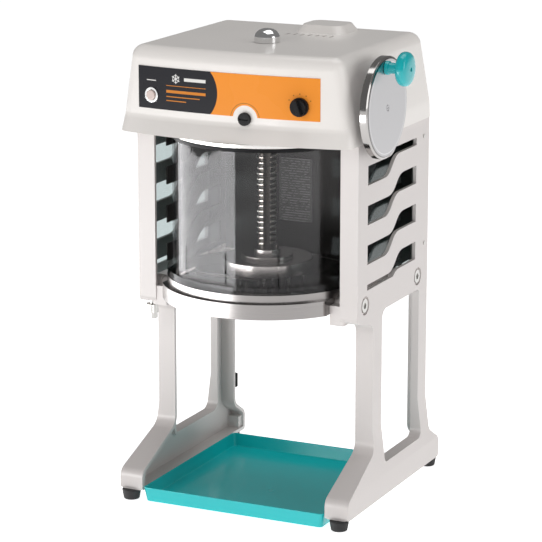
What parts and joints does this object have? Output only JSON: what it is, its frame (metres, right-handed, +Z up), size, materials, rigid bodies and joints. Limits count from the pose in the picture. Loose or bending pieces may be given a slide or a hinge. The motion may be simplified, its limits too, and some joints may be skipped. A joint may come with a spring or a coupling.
{
  "type": "block ice shaver",
  "caption": "Tabletop block ice shaver: a motor head on open side frames turns an ice block over a bladed table, inside a smoked cover, with a hand-fed screw and a drip tray.",
  "frame": {"origin": "on the floor, midway between the four feet", "axes": "+X to the right seen from the front, -Y to the front, +Z up along the feed screw"},
  "size_m": [0.401, 0.3665, 0.6561],
  "materials": {
    "frame_paint": "satin warm grey-white paint",
    "head_shell": "smooth off-white moulding",
    "foot_rubber": "black rubber",
    "dark_liner": "dark grey sheet",
    "clear_sheet": "pale clear sheet",
    "smoked_sheet": "smoked clear sheet",
    "zinc_screw": "zinc-plated steel",
    "table_alloy": "cast alloy, brushed",
    "pale_sheet": "pale sheet",
    "black_plastic": "black moulding",
    "polished_steel": "turned and polished",
    "panel_orange": "orange and black printed sheet",
    "chrome_trim": "polished plating",
    "belt_rubber": "ribbed rubber belt",
    "motor_iron": "dark paint",
    "screw_steel": "bright steel",
    "brass_bush": "plain turned",
    "teal_plastic": "teal moulding"
  },
  "bodies": {
    "stand": {"side_frame_left": "frame_paint", "side_frame_right": "frame_paint", "foot_front_left": "foot_rubber", "foot_front_right": "foot_rubber", "foot_rear_left": "foot_rubber", "foot_rear_right": "foot_rubber", "side_liner_left": "dark_liner", "side_liner_right": "dark_liner", "side_window_left": "clear_sheet", "side_window_right": "clear_sheet", "table_screws": "zinc_screw", "frame_screws": "zinc_screw", "ice_table": "table_alloy", "back_plate": "dark_liner", "notice_plate": "pale_sheet", "guide_band": "black_plastic", "chamber_ring": "polished_steel", "base_plate": "zinc_screw", "plate_screws": "zinc_screw", "head_cover": "head_shell", "control_plate": "panel_orange", "lamp_ring": "chrome_trim", "button_body": "black_plastic", "switch_body": "black_plastic", "sleeve_bearing": "polished_steel", "drive_belt": "belt_rubber", "motor": "motor_iron", "motor_bracket": "zinc_screw", "standoffs": "zinc_screw", "gear_bracket": "zinc_screw", "nut_housing": "table_alloy", "idler_pin": "screw_steel", "shaft_bearing": "table_alloy", "shaft_bush": "brass_bush", "cord_gland": "black_plastic", "cord_clamp": "black_plastic"},
    "cover": {"chamber_cover": "smoked_sheet"},
    "blade_carrier": {"blade_holder": "table_alloy", "blade": "screw_steel"},
    "adjuster": {"adjuster": "black_plastic"},
    "drive": {"drive_pulley": "table_alloy", "drive_sleeve": "screw_steel"},
    "spindle": {"feed_screw": "screw_steel", "plate_hub": "polished_steel", "press_plate": "polished_steel", "plate_spikes": "screw_steel", "dome_cap": "chrome_trim"},
    "rotor": {"motor_pulley": "table_alloy", "motor_shaft": "screw_steel"},
    "nut": {"feed_nut": "brass_bush"},
    "idler": {"idler_gear": "screw_steel"},
    "wheel": {"handwheel": "chrome_trim", "wheel_shaft": "screw_steel", "wheel_pinion": "screw_steel", "crank_pin": "screw_steel"},
    "crank_grip": {"crank_knob": "teal_plastic"},
    "button": {"start_button": "pale_sheet"},
    "switch": {"switch_knob": "black_plastic"},
    "selector": {"feed_selector": "black_plastic"},
    "tray": {"drip_tray": "teal_plastic"}
  },
  "joints": [
    {"name": "cover_turn", "type": "hinge", "parent": "stand", "child": "cover", "pos_m": [0, -0.05, 0.32], "axis": [0, 0, 1], "range_deg": [0, 170]},
    {"name": "blade_lift", "type": "slide", "parent": "stand", "child": "blade_carrier", "axis": [0, 0, 1], "range_m": [0, 0.001]},
    {"name": "adjuster_turn", "type": "hinge", "parent": "stand", "child": "adjuster", "pos_m": [-0.153, -0.101, 0.26], "axis": [0, 0, 1], "range_deg": [0, 270]},
    {"name": "drive_spin", "type": "hinge", "parent": "stand", "child": "drive", "pos_m": [0, -0.05, 0.53], "axis": [0, 0, 1], "continuous": true},
    {"name": "screw_lift", "type": "slide", "parent": "drive", "child": "spindle", "axis": [0, 0, 1], "range_m": [0, 0.15]},
    {"name": "motor_spin", "type": "hinge", "parent": "stand", "child": "rotor", "pos_m": [0.03, 0.078, 0.53], "axis": [0, 0, 1], "continuous": true},
    {"name": "nut_turn", "type": "hinge", "parent": "stand", "child": "nut", "pos_m": [0, -0.05, 0.55], "axis": [0, 0, 1], "range_deg": [-7200, 0]},
    {"name": "idler_turn", "type": "hinge", "parent": "stand", "child": "idler", "pos_m": [0.05593, -0.079, 0.55], "axis": [0, 0, 1], "range_deg": [0, 5400]},
    {"name": "handwheel_turn", "type": "hinge", "parent": "stand", "child": "wheel", "pos_m": [0.18, -0.079, 0.566], "axis": [1, 0, 0], "range_deg": [0, 7200]},
    {"name": "crank_knob_spin", "type": "hinge", "parent": "wheel", "child": "crank_grip", "pos_m": [0.19, -0.0873, 0.6204], "axis": [1, 0, 0], "continuous": true},
    {"name": "start_press", "type": "slide", "parent": "stand", "child": "button", "axis": [0.1362, 0.9907, 0], "range_m": [0, 0.0025], "stiffness_N_per_m": 500, "springref_m": -0.001},
    {"name": "switch_turn", "type": "hinge", "parent": "stand", "child": "switch", "pos_m": [0.098, -0.15612, 0.5724], "axis": [-0.1161, 0.9932, 0], "range_deg": [0, 60]},
    {"name": "feed_select", "type": "hinge", "parent": "stand", "child": "selector", "pos_m": [0.021, -0.16167, 0.5516], "axis": [-0.0276, 0.9996, 0], "range_deg": [0, 90]},
    {"name": "tray_slide", "type": "slide", "parent": "stand", "child": "tray", "axis": [0, -1, 0], "range_m": [0, 0.25]}
  ],
  "couplings": [
    {"joint": "motor_spin", "follows": "drive_spin", "ratio": 4},
    {"joint": "idler_turn", "follows": "handwheel_turn", "ratio": 0.75},
    {"joint": "nut_turn", "follows": "handwheel_turn", "ratio": -1},
    {"joint": "screw_lift", "follows": "handwheel_turn", "m_per_rad": 0.0011936},
    {"joint": "adjuster_turn", "follows": "blade_lift", "rad_per_m": 4712}
  ]
}
